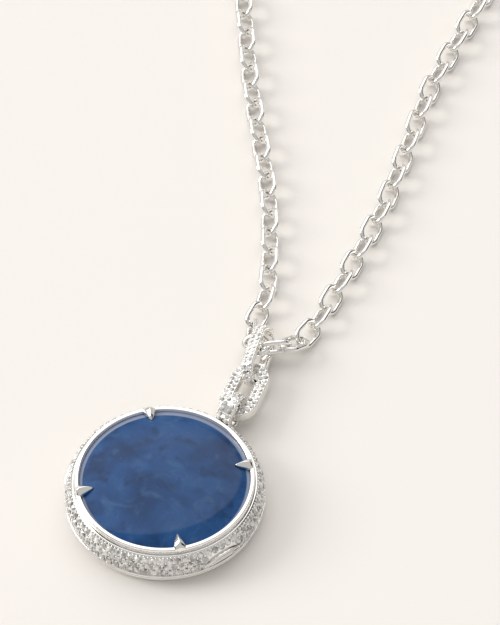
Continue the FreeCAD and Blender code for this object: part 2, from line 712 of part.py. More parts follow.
# Shares of the tail's half width: where its end narrows, stops, and how flat it is.
TAIL_SHOULDER = 0.55
TAIL_END = 1.1
TAIL_FLAT = 0.45


def build_clasp(frame):
    """Lobster clasp in its own frame: nose on +X, tail eyelet on -X, mouth on -Y."""
    body = new_body("clasp_body")
    hull = sketch_on(body, "XY_Plane")
    clasp_outline(hull, cell("clasp_half_width"), cell("clasp_nose"), cell("clasp_heel"))
    clasp_outline(hull, cell("clasp_hole_half_width"), cell("clasp_hole_nose"),
                  cell("clasp_hole_heel"))
    pad(body, hull, cell("clasp_thickness"), both_ways=True)
    tail = sketch_on(body, "XY_Plane")
    root, reach = cell("clasp_tail_root"), -cell("clasp_tail_reach")
    half = cell("clasp_tail_half_width")
    shoulder, end, narrow = reach - half * TAIL_SHOULDER, reach - half * TAIL_END, half * TAIL_FLAT
    add_outline(tail, [(root, half), (shoulder, half), (end, narrow), (end, -narrow),
                       (shoulder, -half), (root, -half)])
    pad(body, tail, cell("clasp_eyelet_thickness"), both_ways=True)
    eyelet = sketch_on(body, "XY_Plane")
    add_circle(eyelet, reach, 0, cell("clasp_eyelet_radius"))
    pocket_through(body, eyelet)
    mouth = sketch_on(body, "XY_Plane")
    outside = -cell("clasp_half_width") - cell("cut_margin")
    near, far = cell("clasp_mouth_near"), cell("clasp_mouth_far")
    mouth_top = cell("clasp_mouth_top")
    add_outline(mouth, [(near, outside), (far, outside), (far, mouth_top), (near, mouth_top)])
    pocket_through(body, mouth)
    slot = sketch_on(body, "XY_Plane")
    slot_end, slot_top = cell("clasp_slot_end"), cell("clasp_slot_top")
    into_mouth = near + cell("cut_margin")
    add_outline(slot, [(slot_end, outside), (into_mouth, outside), (into_mouth, slot_top),
                       (slot_end, slot_top)])
    cut = body.newObject("PartDesign::Pocket", "clasp_body_slot")
    cut.Profile = slot
    cut.SideType = "Symmetric"
    cut.setExpression("Length", "sizes.clasp_slot")
    bore = sketch_on(body, "XY_Plane")
    add_circle(bore, cell("clasp_pin_x"), cell("clasp_pin_y"), cell("clasp_pin_radius"))
    pocket_through(body, bore)
    body.Placement = frame


def build_clasp_small_parts(frame):
    pin = doc.addObject("Part::Cylinder", "clasp_pin")
    pin.Label = "clasp_pin"
    pin.setExpression("Radius", "sizes.clasp_pin_radius - sizes.clasp_pin_clearance")
    pin.setExpression("Height", "sizes.clasp_thickness")
    low = Vector(number_of("clasp_pin_x"), number_of("clasp_pin_y"),
                 -number_of("clasp_thickness") / 2)
    pin.Placement = frame.multiply(Placement(low, Rotation()))
    lever = new_body("clasp_lever")
    plan = sketch_on(lever, "XY_Plane")
    half = cell("lever_half_width")
    tip = cell("clasp_mouth_far") - cell("clasp_pin_x") - cell("lever_tip_gap")
    heel, drop = cell("lever_heel_reach"), cell("lever_heel_drop")
    add_outline(plan, [(-heel * 0.6, half * 0.7), (-heel * 0.1, half), (tip, half), (tip, -half),
                       (half, -drop * 0.45), (-heel * 0.5, -drop), (-heel, -drop * 0.8)])
    add_circle(plan, 0, 0, cell("lever_bore"))
    pad(lever, plan, cell("lever_thickness"), both_ways=True)
    hinge = Vector(number_of("clasp_pin_x"), number_of("clasp_pin_y"), 0)
    lever.Placement = frame.multiply(Placement(hinge, Rotation()))
    spring_place = Vector(number_of("spring_x"), number_of("spring_y"), 0)
    helix = Part.makeHelix(number_of("spring_pitch"), number_of("spring_length"),
                           number_of("spring_radius"))
    start = Vector(number_of("spring_radius"), 0, 0)
    section = Part.Wire(Part.makeCircle(number_of("spring_wire") / 2, start, Vector(0, 1, 0)))
    coil = Part.Wire(helix.Edges).makePipeShell([section], True, True)
    spring = doc.addObject("Part::Feature", "clasp_spring")
    spring.Label = "clasp_spring"
    spring.Shape = coil
    along_width = Rotation(Vector(1, 0, 0), -90)
    spring.Placement = frame.multiply(Placement(spring_place, along_width))
    return frame.multVec(hinge)


def build_ends(walks):
    ring_frame = end_ring_frame(walks["left"], number_of("end_ring_diameter"),
                                number_of("end_ring_wire"))
    build_ring("end_ring", "end_ring_diameter", "end_ring_wire", ring_frame)
    print("end_ring swings at", walks["left"][-1])
    jump_frame = end_ring_frame(walks["right"], number_of("jump_ring_diameter"),
                                number_of("jump_ring_wire"))
    build_ring("jump_ring", "jump_ring_diameter", "jump_ring_wire", jump_frame)
    print("jump_ring swings at", walks["right"][-1])
    heading = walks["right"][-1] - walks["right"][-2]
    heading.z = 0
    heading.normalize()
    reach = (number_of("jump_ring_diameter") - number_of("jump_ring_wire")) / 2
    eyelet = jump_frame.Base + heading * reach
    clasp_height = number_of("clasp_thickness") / 2 + number_of("clasp_lift")
    centre = eyelet + heading * number_of("clasp_tail_reach")
    eyelet.z = clasp_height
    centre.z = clasp_height
    clasp_frame = rolled_frame(eyelet, centre, 0)
    clasp_frame.Base = centre
    build_clasp(clasp_frame)
    print("clasp swings at", eyelet, "lever hinge", build_clasp_small_parts(clasp_frame))


# ---------------------------------------------------------------- assemble and write
def report_hinge(name, frame, spot):
    """Print where a hinge about the frame's X sits, for the motion record."""
    point = frame.multVec(spot)
    axis = frame.Rotation.multVec(Vector(1, 0, 0))
    print("frame %s at %.4f %.4f %.4f axis %.5f %.5f %.5f" % (name, *point, *axis))


build_turned_parts()
build_cabochon_cap()
build_back_gallery()
build_claws()
build_wall_stones()
build_pendant_loop()
build_loop_stones()
build_oval_link()
build_bail()
chain_walks = build_chain()
build_ends(chain_walks)
doc.recompute()
loop_centre = Vector(0, number_of("loop_reach"), number_of("loop_height"))
link_end = Vector(0, (number_of("oval_length") - number_of("oval_arm")) / 2, 0)
report_hinge("loop", pendant_frame, loop_centre)
report_hinge("link", oval_frame, link_end)
report_hinge("bail", bail_frame, Vector(0, number_of("bail_hinge_y"), 0))

for body in doc.findObjects("PartDesign::Body"):
    if body.Label in ("base_rim", "rim_lip", "halo_frame", "bezel_ring", "cabochon_layer",
                      "cabochon_cap", "back_gallery"):
        body.Placement = pendant_frame
doc.recompute()

os.makedirs("parts", exist_ok=True)
NODE_TYPES = ("PartDesign::Body", "Part::Feature", "Part::Torus", "Part::Cylinder")
for item in doc.Objects:
    assert "Invalid" not in item.State and "Error" not in item.State, item.Label
for item in doc.Objects:
    if item.TypeId not in NODE_TYPES:
        continue
    shape = item.Shape
    assert not shape.isNull() and shape.isValid(), item.Label
    shape.exportStep("parts/%s.step" % item.Label)
    print(item.Label, "solids", len(shape.Solids), "volume", round(shape.Volume, 2))
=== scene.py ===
# %% [markdown]
# # A pendant necklace lying on a table
# A round blue stone sits in a wall of small clear stones. It hangs by a tapered loop
# from an oval link, and the link from a bail on an oval-link chain.
# The chain, rings and clasp are used as they come from the solid model. Everything that
# carries small stones is built again here, because beads and facets are what the eye reads.

# %% Load the solid model
import math

import bpy
import numpy as np
from mathutils import Matrix, Vector


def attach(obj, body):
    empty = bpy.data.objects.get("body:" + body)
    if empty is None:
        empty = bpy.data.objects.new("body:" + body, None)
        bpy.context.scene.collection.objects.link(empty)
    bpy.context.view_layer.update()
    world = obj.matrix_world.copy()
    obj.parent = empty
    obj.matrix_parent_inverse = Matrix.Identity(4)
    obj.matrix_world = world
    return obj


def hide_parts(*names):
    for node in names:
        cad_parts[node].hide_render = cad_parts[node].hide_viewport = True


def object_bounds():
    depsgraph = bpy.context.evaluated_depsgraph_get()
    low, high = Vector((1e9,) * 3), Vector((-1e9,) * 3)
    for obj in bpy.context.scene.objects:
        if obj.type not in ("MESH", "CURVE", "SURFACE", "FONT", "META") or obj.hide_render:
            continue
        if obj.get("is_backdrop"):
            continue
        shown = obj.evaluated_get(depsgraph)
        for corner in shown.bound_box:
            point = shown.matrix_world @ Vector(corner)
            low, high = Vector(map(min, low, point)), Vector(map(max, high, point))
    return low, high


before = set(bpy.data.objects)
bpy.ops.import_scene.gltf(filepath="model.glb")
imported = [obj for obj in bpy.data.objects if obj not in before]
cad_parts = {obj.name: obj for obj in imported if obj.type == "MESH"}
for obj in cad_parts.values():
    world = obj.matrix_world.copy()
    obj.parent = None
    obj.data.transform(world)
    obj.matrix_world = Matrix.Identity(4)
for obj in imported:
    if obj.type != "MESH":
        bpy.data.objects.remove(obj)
box_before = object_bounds()
MM = 0.001
print("the model measures", [round(side / MM, 1) for side in box_before[1] - box_before[0]], "mm")

# %% [markdown]
# ## Shader helpers
# A material is a network of nodes, but arithmetic reads best as arithmetic. `Signal` wraps one
# output socket so that `noise * 0.3 + 0.1` adds the Math nodes itself. `Finish` starts a
# material with its Principled shader and adds any other node in one call.

# %% A socket that does arithmetic
class Signal:
    def __init__(self, tree, socket):
        self.tree = tree
        self.socket = socket

    def math(self, operation, first, second=None):
        node = self.tree.nodes.new("ShaderNodeMath")
        node.operation = operation
        for place, value in enumerate((first, second)):
            if isinstance(value, Signal):
                self.tree.links.new(value.socket, node.inputs[place])
            elif value is not None:
                node.inputs[place].default_value = value
        return Signal(self.tree, node.outputs[0])

    def __add__(self, other):
        return self.math("ADD", self, other)

    def __radd__(self, other):
        return self.math("ADD", other, self)

    def __sub__(self, other):
        return self.math("SUBTRACT", self, other)

    def __rsub__(self, other):
        return self.math("SUBTRACT", other, self)

    def __mul__(self, other):
        return self.math("MULTIPLY", self, other)

    def __rmul__(self, other):
        return self.math("MULTIPLY", other, self)

    def __truediv__(self, other):
        return self.math("DIVIDE", self, other)

    def __rtruediv__(self, other):
        return self.math("DIVIDE", other, self)

    def __pow__(self, other):
        return self.math("POWER", self, other)

    def step(self, low, high):
        """0 below low, 1 above high and a smooth rise between."""
        node = self.tree.nodes.new("ShaderNodeMapRange")
        node.interpolation_type = "SMOOTHSTEP"
        self.tree.links.new(self.socket, node.inputs["Value"])
        node.inputs["From Min"].default_value = low
        node.inputs["From Max"].default_value = high
        return Signal(self.tree, node.outputs["Result"])

# %% A material with its shader
class Finish:
    def __init__(self, name, **constants):
        self.material = bpy.data.materials.new(name)
        self.material.use_nodes = True
        self.tree = self.material.node_tree
        self.shader = self.tree.nodes["Principled BSDF"]
        for socket, value in constants.items():
            self.shader.inputs[socket.replace("_", " ")].default_value = value

    def node(self, kind, settings, values, output=0):
        made = self.tree.nodes.new(kind)
        for name, value in settings.items():
            setattr(made, name, value)
        for name, value in values.items():
            if isinstance(value, Signal):
                self.tree.links.new(value.socket, made.inputs[name])
            else:
                made.inputs[name].default_value = value
        return Signal(self.tree, made.outputs[output])

    def place(self):
        return self.node("ShaderNodeTexCoord", {}, {}, "Object")

    def noise(self, scale, detail=4.0, distortion=0.0):
        return self.node("ShaderNodeTexNoise", {}, {
            "Vector": self.place(), "Scale": scale, "Detail": detail, "Distortion": distortion}, 0)

    def blend(self, factor, first, second):
        node = self.tree.nodes.new("ShaderNodeMix")
        node.data_type = "RGBA"
        for place, value in ((0, factor), (6, first), (7, second)):
            if isinstance(value, Signal):
                self.tree.links.new(value.socket, node.inputs[place])
            else:
                node.inputs[place].default_value = value
        return Signal(self.tree, node.outputs[2])

    def vary(self, socket, signal):
        self.tree.links.new(signal.socket, self.shader.inputs[socket])

    def bump(self, height, distance, strength=1.0):
        self.vary("Normal", self.node("ShaderNodeBump", {}, {
            "Height": height, "Distance": distance, "Strength": strength}))

# %% [markdown]
# ## Silver
# Polished silver is almost a mirror. What keeps it from looking computed is wear: faint hairline
# marks, patches that are a little duller, and a trace of warmth where it has begun to tarnish.

# %% Polished silver
def silver(name, dullness, warmth=0.3):
    finish = Finish(name, Metallic=1.0)
    clouds = finish.noise(240.0, 3.0)
    marks = finish.noise(2600.0, 2.0, 2.5)
    bright = (0.91, 0.9, 0.88, 1.0)
    aged = (0.8, 0.78, 0.745, 1.0)
    finish.vary("Base Color", finish.blend(clouds * warmth + marks * 0.1, bright, aged))
    finish.vary("Roughness", clouds * 0.05 + marks * 0.04 + dullness)
    finish.bump(marks, 0.000002)
    return finish.material

SILVER = silver("silver_polished", 0.03)
BEADS = silver("silver_beads", 0.1)
WORN = silver("silver_inside_worn", 0.16, 0.6)

# %% [markdown]
# ## Small clear stones
# They are faceted, so their sparkle comes from flat faces that each mirror another part of the
# room. A little body colour stands for the light that bounces inside and comes out again.

# %% Faceted clear stone
def clear_stone():
    finish = Finish("melee_clear", IOR=2.2, Transmission_Weight=0.15, Coat_Weight=1.0,
                    Coat_Roughness=0.02)
    # Painted sparkle: a fine speckle of dark grey and near-white base colour stands for glints from
    # the facets and light bounced inside the stone.
    painted_sparkle = finish.noise(1500.0, 2.0)
    finish.vary("Base Color", finish.blend(
        painted_sparkle.step(0.36, 0.62), (0.3, 0.29, 0.27, 1.0), (0.98, 0.97, 0.95, 1.0)))
    finish.vary("Roughness", painted_sparkle * 0.1 + 0.02)
    return finish.material

MELEE = clear_stone()

# %% [markdown]
# ## The blue stone
# The blue is uneven: darker clouds, a few pale wisps and a scatter of small dark spots, all under a
# clear dome. A clear solid over a coloured one needs light to be traced through it twice, so the
# dome carries the colour itself and a clear coat stands for its polish. Seen through the dome the
# blue ends a little short of the edge, and the clear rim there shows the seat: a pale lilac grey.

# %% Mottled blue
def blue_stone(name, coat, clear_rim):
    finish = Finish(name, Coat_Weight=coat, Coat_Roughness=0.01, Coat_IOR=1.37,
                    Specular_IOR_Level=0.0)
    clouds = finish.noise(150.0, 5.0, 0.4)
    spots = finish.noise(430.0, 2.0, 0.1)
    grain = finish.noise(2400.0, 3.0)
    veins = finish.noise(300.0, 9.0, 1.2)
    deep = (0.002, 0.035, 0.13, 1.0)
    middle = (0.009, 0.066, 0.215, 1.0)
    pale = (0.06, 0.14, 0.28, 1.0)
    colour = finish.blend(clouds.step(0.34, 0.58), deep, middle)
    colour = finish.blend(veins.step(0.48, 0.8) * 0.6 + grain * 0.08, colour, pale)
    ridge = (veins - 0.5).math("ABSOLUTE", veins - 0.5)
    wisps = 1 - ridge.step(0.0, 0.01)
    colour = finish.blend(wisps * clouds.step(0.44, 0.62) * 0.12, colour, (0.2, 0.3, 0.42, 1.0))
    dark = spots.step(0.5, 0.78) * (1 - clouds.step(0.5, 0.64))
    colour = finish.blend(dark * 0.8, colour, (0.001, 0.022, 0.085, 1.0))
    if clear_rim:
        split = finish.tree.nodes.new("ShaderNodeSeparateXYZ")
        finish.tree.links.new(finish.place().socket, split.inputs[0])
        x, y = (Signal(finish.tree, split.outputs[axis]) for axis in (0, 1))
        blue_centre, blue_ends, clear_starts = -0.0004, 0.01078, 0.01096  # metres
        seen_seat = (0.3, 0.34, 0.45, 1.0)
        beyond = y - blue_centre
        radius = (x * x + beyond * beyond) ** 0.5
        colour = finish.blend(radius.step(blue_ends, clear_starts) * 0.8, colour, seen_seat)
    finish.vary("Base Color", colour)
    finish.vary("Roughness", clouds * 0.1 + 0.2)
    return finish.material

DOME = blue_stone("blue_under_clear_dome", 1.0, True)
LAYER = blue_stone("blue_layer", 0.0, False)

# %% [markdown]
# ## Building helpers
# Every mesh is worked out in millimetres in its own frame and then carried to its place, so the
# numbers stay readable. A closed sweep draws a section round a closed path: it makes the turned
# rings, the oval link and the bail.

# %% Meshes in place
CRISP = 50         # degrees: an edge that bends more than this is drawn sharp
ROUND_STEPS = 256  # straight steps in a full turn of the pendant's metal

def add_mesh(name, points, faces, material, body, where=Matrix(), smooth=True, instead_of=()):
    mesh = bpy.data.meshes.new(name)
    mesh.from_pydata([(where @ Vector(point)) * MM for point in points], [], faces)
    mesh.materials.append(material)
    mesh.polygons.foreach_set("use_smooth", [smooth] * len(mesh.polygons))
    thing = bpy.data.objects.new(name, mesh)
    bpy.context.scene.collection.objects.link(thing)
    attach(thing, body)
    if instead_of:
        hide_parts(*instead_of)
    return thing

def add_edge_split(thing, degrees):
    split = thing.modifiers.new("crisp edges", "EDGE_SPLIT")
    split.split_angle = math.radians(degrees)

# %% Rounded sections and closed sweeps
def round_corners(corners, radius, steps=4):
    """A closed outline with each corner replaced by a short curve."""
    outline = []
    count = len(corners)
    for place, corner in enumerate(corners):
        corner = np.array(corner, float)
        ends = []
        for other in (corners[place - 1], corners[(place + 1) % count]):
            along = np.array(other, float) - corner
            length = np.linalg.norm(along)
            ends.append(corner + along * min(radius / length, 0.45))
        for step in range(steps + 1):
            t = step / steps
            bend = ends[0] * (1 - t) ** 2 + corner * 2 * t * (1 - t) + ends[1] * t ** 2
            outline.append(tuple(bend))
    return outline

def sweep(path, section_at):
    """Points and faces of a section carried round a closed path of (point, outward, up)."""
    points, faces = [], []
    for place, (spot, out, up) in enumerate(path):
        section = section_at(place)
        points += [spot + out * across + up * rise for across, rise in section]
    around, sides = len(path), len(section)
    for place in range(around):
        for side in range(sides):
            a, b = place * sides + side, place * sides + (side + 1) % sides
            c, d = ((place + 1) % around) * sides + (side + 1) % sides, \
                ((place + 1) % around) * sides + side
            faces.append((a, d, c, b))
    return points, faces

UP = Vector((0, 0, 1))

def round_path(count):
    spots = []
    for place in range(count):
        turn = 2 * math.pi * place / count
        spots.append((Vector((0, 0, 0)), Vector((math.cos(turn), math.sin(turn), 0)), UP))
    return spots

def turned(name, corners, easing, material, body="pendant", instead_of=()):
    section = round_corners(corners, easing)
    points, faces = sweep(round_path(ROUND_STEPS), lambda place: section)
    thing = add_mesh(name, points, faces, material, body, PENDANT, instead_of=instead_of)
    add_edge_split(thing, CRISP)
    return thing

# %% [markdown]
# ## Facets and beads
# A small brilliant is a flat table, a crown of kite and triangle facets and a thin girdle. It is
# held by beads of metal pushed over its edge, one bead shared by neighbouring stones.

# %% Templates
def brilliant():
    """Crown of a small round stone of radius 1, its girdle at height 0."""
    levels = ((16, 1.0, -0.16, 0.0), (16, 1.0, 0.0, 0.0), (8, 0.8, 0.22, 0.5), (8, 0.54, 0.4, 0.0))
    points = []
    for count, radius, height, shift in levels:
        for place in range(count):
            turn = 2 * math.pi * (place + shift) / count
            points.append(Vector((radius * math.cos(turn), radius * math.sin(turn), height)))
    faces = [(k, (k + 1) % 16, 16 + (k + 1) % 16, 16 + k) for k in range(16)]
    for k in range(8):
        low, mid, top = 16 + 2 * k, 32 + k, 40 + k
        after = 40 + (k + 1) % 8
        faces += [(low, low + 1, mid), (low + 1, 16 + (2 * k + 2) % 16, mid), (low, mid, top),
                  (16 + (2 * k + 2) % 16, after, mid), (mid, after, top)]
    faces.append(tuple(range(40, 48)))
    return points, faces

def bead(rings=4, around=8):
    """Upper half of a small ball of radius 1."""
    points, faces = [], []
    for ring in range(rings):
        rise = math.pi / 2 * ring / rings
        for place in range(around):
            turn = 2 * math.pi * place / around
            points.append(Vector((math.cos(rise) * math.cos(turn), math.cos(rise) * math.sin(turn),
                                  math.sin(rise))))
    points.append(UP.copy())
    for ring in range(rings - 1):
        for place in range(around):
            a, b = ring * around + place, ring * around + (place + 1) % around
            faces.append((a, b, b + around, a + around))
    last = (rings - 1) * around
    faces += [(last + place, last + (place + 1) % around, rings * around)
              for place in range(around)]
    return points, faces

def scatter(name, template, spots, material, body, where, smooth, instead_of=()):
    """One mesh of copies of a template, each at a (position, normal, radius)."""
    base, base_faces = template
    points, faces = [], []
    for spot, normal, radius in spots:
        turn = normal.to_track_quat("Z", "Y")
        first = len(points)
        points += [spot + (turn @ point) * radius for point in base]
        faces += [tuple(first + corner for corner in face) for face in base_faces]
    return add_mesh(name, points, faces, material, body, where, smooth, instead_of)

# %% [markdown]
# ## The pendant's turned metal
# A plain foot, a groove, a second bright lip, a bowed wall and a polished ring that stands above
# it. They share one axis, so each is a section turned round it. The section's corners are eased,
# because a polished edge shows as a thin line of light.

# %% Foot, lip, ring and gallery
HEADING = math.radians(55 - 90)
PENDANT = Matrix.Rotation(HEADING, 4, "Z")
STONE_RADIUS, GIRDLE, CROWN = 11.25, 5.05, 7.2

turned("foot", [(11.4, 0.02), (12.75, 0.02), (13.12, 0.55), (13.12, 0.92), (12.6, 1.08),
                (11.4, 1.08)], 0.12, SILVER, instead_of=("base_rim",))
turned("lip", [(12.2, 1.22), (13.2, 1.22), (13.36, 1.42), (13.3, 1.62), (12.2, 1.66)], 0.1, SILVER,
       instead_of=("rim_lip",))
turned("stone_ring", [(10.6, 3.0), (11.9, 3.0), (11.97, 5.3), (11.86, 5.52), (11.4, 5.5),
                      (11.28, 5.2), (11.28, 3.3), (10.6, 3.3)], 0.1, SILVER,
       instead_of=("bezel_ring",))

# %% Bowed wall with its edge rails
def wall_radius(height):
    """The wall swells to its widest a little above its foot and leans in to the ring."""
    widest, level = 13.08, 2.45
    return widest - (0.15 if height > level else 0.16) * (height - level) ** 2

wall_profile = [(11.98, 1.66)]
wall_profile += [(wall_radius(level) - 0.06, level) for level in np.linspace(1.66, 4.66, 12)]
wall_profile += [(11.98, 4.72)]
points, faces = sweep(round_path(ROUND_STEPS), lambda place: wall_profile)
add_mesh("wall", points, faces, BEADS, "pendant", PENDANT, instead_of=("halo_frame",))

# %% [markdown]
# ## Stones in the wall
# Three staggered rows follow the bow of the wall. Beads sit in the gaps of the rows. The two
# leaf-shaped strips and the loop interrupt the lowest rows.

# %% Rows of stones and beads
LEAF_ANGLE, LEAF_SPAN = 109, 24
PER_ROW = 76
ROW_LEVELS = (2.16, 3.12, 4.04)

def wall_spot(degrees, height):
    """Place on the wall and the direction that it faces there."""
    turn = math.radians(degrees)
    slope = math.atan2(wall_radius(height - 0.1) - wall_radius(height + 0.1), 0.2)
    out = Vector((math.cos(turn), math.sin(turn), 0))
    return out * wall_radius(height) + UP * height, out * math.cos(slope) + UP * math.sin(slope)

def from_loop(degrees):
    return abs((degrees - 90 + 180) % 360 - 180)

def is_clear(degrees, row):
    if from_loop(degrees) < 7.2:
        return False
    beside = abs(from_loop(degrees) - LEAF_ANGLE)
    reach = (LEAF_SPAN / 2 + 2, LEAF_SPAN / 3.2, 0.0)[row]
    return beside >= reach

stone_rows = []
for row, level in enumerate(ROW_LEVELS):
    spots = []
    for place in range(PER_ROW):
        degrees = (place + row % 2 / 2) * 360 / PER_ROW
        if is_clear(degrees, row):
            spot, normal = wall_spot(degrees, level)
            spots.append((spot + normal * 0.02, normal, 0.5))
    stone_rows.append(spots)
for spots, label in zip(stone_rows, ("low", "middle", "high")):
    thing = scatter("stones_" + label, brilliant(), spots, MELEE, "pendant", PENDANT, False,
                    ("wall_melee_" + label,))

bead_spots = []
BEAD_LEVELS = (1.74, 2.64, 3.58, 4.5)
for gap, level in enumerate(BEAD_LEVELS):
    for place in range(PER_ROW * 2):
        degrees = (place / 2 + 0.25) * 360 / PER_ROW
        if is_clear(degrees, max(0, gap - 1)):
            spot, normal = wall_spot(degrees, level)
            bead_spots.append((spot - normal * 0.02, normal, 0.15))
scatter("wall_beads", bead(), bead_spots, BEADS, "pendant", PENDANT, True)
print("the wall holds", sum(len(row) for row in stone_rows), "stones and", len(bead_spots), "beads")

# %% [markdown]
# ## Leaf-shaped strips
# On each side the lip splits into two blades that part and meet again, with a dark slit between
# them. Each blade is a thin strip that follows the wall, tapering to nothing at both ends.

# %% Two blades on each side
OXIDISED = silver("silver_in_slit", 0.3, 1.0)
OXIDISED.node_tree.nodes["Principled BSDF"].inputs["Metallic"].default_value = 0.6

def leaf_strip(name, centre, span, rises, width, depth, material, instead_of=()):
    """A strip along the wall round a centre angle, bowed up between two rises in its middle."""
    points, faces = [], []
    steps = 48
    for step in range(steps + 1):
        t = step / steps
        swell = math.sin(math.pi * t) ** 0.9
        low, high = (1.66 + rise * swell for rise in rises)
        degrees = centre + (t - 0.5) * span
        for share, lift in ((0.0, 0.0), (0.0, 0.8), (0.5, 1.0), (1.0, 0.8), (1.0, 0.0)):
            level = low - width / 2 + (high - low + width) * share
            spot, normal = wall_spot(degrees, level)
            points.append(spot + normal * (depth * lift * min(1.0, 0.35 + swell) - 0.05))
    for step in range(steps):
        for side in range(4):
            a = step * 5 + side
            faces.append((a, a + 5, a + 6, a + 1))
    return add_mesh(name, points, faces, material, "pendant", PENDANT, instead_of=instead_of)

for side, centre in (("left", 90 + LEAF_ANGLE), ("right", 90 - LEAF_ANGLE)):
    leaf_strip("leaf_upper_" + side, centre, LEAF_SPAN + 8, (1.35, 1.35), 0.26, 0.4, SILVER,
               ("leaf_" + side,))
    leaf_strip("leaf_lower_" + side, centre, LEAF_SPAN + 4, (0.5, 0.5), 0.3, 0.36, SILVER)
    leaf_strip("leaf_slit_" + side, centre, LEAF_SPAN, (0.6, 1.25), 0.0, 0.1, OXIDISED)

# %% [markdown]
# ## Claws
# Four talons rise from the ring and lean over the stone. A ridge runs down each one to its point.
# The shape is a few cross-sections from heel to tip; a subdivision surface rounds them.

# %% Talon claws
def claw(number, degrees):
    # radius from the axis, half width, height of the foot, height of the ridge
    stations = ((12.02, 0.62, 5.1, 5.42), (11.85, 0.86, 5.3, 5.95), (11.35, 0.9, 5.34, 6.32),
                (10.7, 0.68, 5.42, 6.34), (10.05, 0.4, 5.6, 6.14), (9.5, 0.1, 5.76, 5.88))
    points, faces = [], []
    for reach, half, low, high in stations:
        shoulder = low + (high - low) * 0.55
        for across, level in ((-half, low), (-half * 0.86, shoulder), (0, high),
                              (half * 0.86, shoulder), (half, low)):
            points.append((reach, across, level))
    for station in range(len(stations) - 1):
        for side in range(4):
            a = station * 5 + side
            faces.append((a, a + 1, a + 6, a + 5))
    last = 5 * (len(stations) - 1)
    faces += [(4, 3, 2, 1, 0), tuple(range(last, last + 5))]
    turn = PENDANT @ Matrix.Rotation(math.radians(degrees), 4, "Z")
    thing = add_mesh("talon_%d" % number, points, faces, SILVER, "pendant", turn,
                     instead_of=("claw_%d" % number,))
    rounding = thing.modifiers.new("rounding", "SUBSURF")
    rounding.levels = rounding.render_levels = 3
    crease = thing.data.attributes.new("crease_edge", "FLOAT", "EDGE")
    for edge in thing.data.edges:
        ends = [vertex % 5 for vertex in edge.vertices]
        crease.data[edge.index].value = 0.75 if ends == [2, 2] else 0.0

for number in range(4):
    claw(number + 1, 90 + 45 + 90 * number)

# %% [markdown]
# ## The domed stone
# A shallow dome over a short upright edge, turned in fine steps so that its reflections stay
# smooth. The coloured layer stays hidden under it as a disc.

# %% Dome and layer
def dome_height(radius):
    rise = CROWN - GIRDLE
    sphere = (STONE_RADIUS ** 2 + rise ** 2) / (2 * rise)
    return CROWN - sphere + math.sqrt(sphere ** 2 - radius ** 2)

def dome(name, material, rings=64, around=192):
    points = [Vector((0, 0, dome_height(0)))]
    for ring in range(1, rings + 1):
        radius = STONE_RADIUS * math.sin(math.pi / 2 * ring / rings)
        for place in range(around):
            turn = 2 * math.pi * place / around
            points.append(Vector((radius * math.cos(turn), radius * math.sin(turn),
                                  dome_height(radius))))
    faces = [(0, 1 + place, 1 + (place + 1) % around) for place in range(around)]
    for ring in range(rings - 1):
        for place in range(around):
            a, b = 1 + ring * around + place, 1 + ring * around + (place + 1) % around
            faces.append((a, a + around, b + around, b))
    edge = len(points)
    for place in range(around):
        turn = 2 * math.pi * place / around
        points.append(Vector((STONE_RADIUS * math.cos(turn), STONE_RADIUS * math.sin(turn), 4.0)))
    rim = 1 + (rings - 1) * around
    for place in range(around):
        following = (place + 1) % around
        faces.append((rim + place, edge + place, edge + following, rim + following))
    faces.append(tuple(edge + place for place in reversed(range(around))))
    return add_mesh(name, points, faces, material, "pendant", PENDANT, instead_of=("cabochon_cap",))

dome("domed_stone", DOME)

# %% [markdown]
# ## Loop, oval link and bail
# These three carry the pendant. The oval link's and the bail's frames are measured from their own
# solids: turning the solid's points to the piece's heading and lean makes its box give the middle
# and the real sizes. The loop is placed at given numbers on the pendant.

# %% Measure a piece in its own frame
def measured(node, heading, lean):
    """Frame at the middle of a node, long side on Y, with its sizes in millimetres."""
    turn = Matrix.Rotation(math.radians(heading - 90), 4, "Z") @ Matrix.Rotation(
        math.radians(-lean), 4, "Y")
    back = turn.inverted()
    local = np.array([(back @ (vertex.co / MM))[:]
                      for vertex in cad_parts[node].data.vertices])
    low, high = local.min(0), local.max(0)
    centre = turn @ Vector((low + high) / 2)
    return Matrix.Translation(centre) @ turn, high - low

def stadium_path(length, width, inset, steps=20, run=10):
    """Path round a stadium at an inset from its outline: (point, outward, up)."""
    bend, straight = width / 2 - inset, (length - width) / 2
    path = []
    for end in (1, -1):
        for step in range(steps + 1):
            turn = math.pi * step / steps + (0 if end > 0 else math.pi)
            out = Vector((math.cos(turn), math.sin(turn), 0))
            path.append((Vector((0, end * straight, 0)) + out * bend, out, UP))
        side = -1 if end > 0 else 1
        for step in range(1, run):
            along = end * straight * (1 - 2 * step / run)
            path.append((Vector((side * bend, along, 0)), Vector((side, 0, 0)), UP))
    return path

def evenly(path, pitch, shift=0.0):
    """Places at one pitch along a closed path, as (point, outward)."""
    ends = [path[(place + 1) % len(path)] for place in range(len(path))]
    lengths = [(after[0] - here[0]).length for here, after in zip(path, ends)]
    total = sum(lengths)
    count = int(total / pitch)
    places = []
    for number in range(count):
        target = (number + shift) * total / count
        for here, after, length in zip(path, ends, lengths):
            if target <= length and length > 0:
                t = target / length
                places.append((here[0].lerp(after[0], t), here[1].lerp(after[1], t).normalized()))
                break
            target -= length
    return places

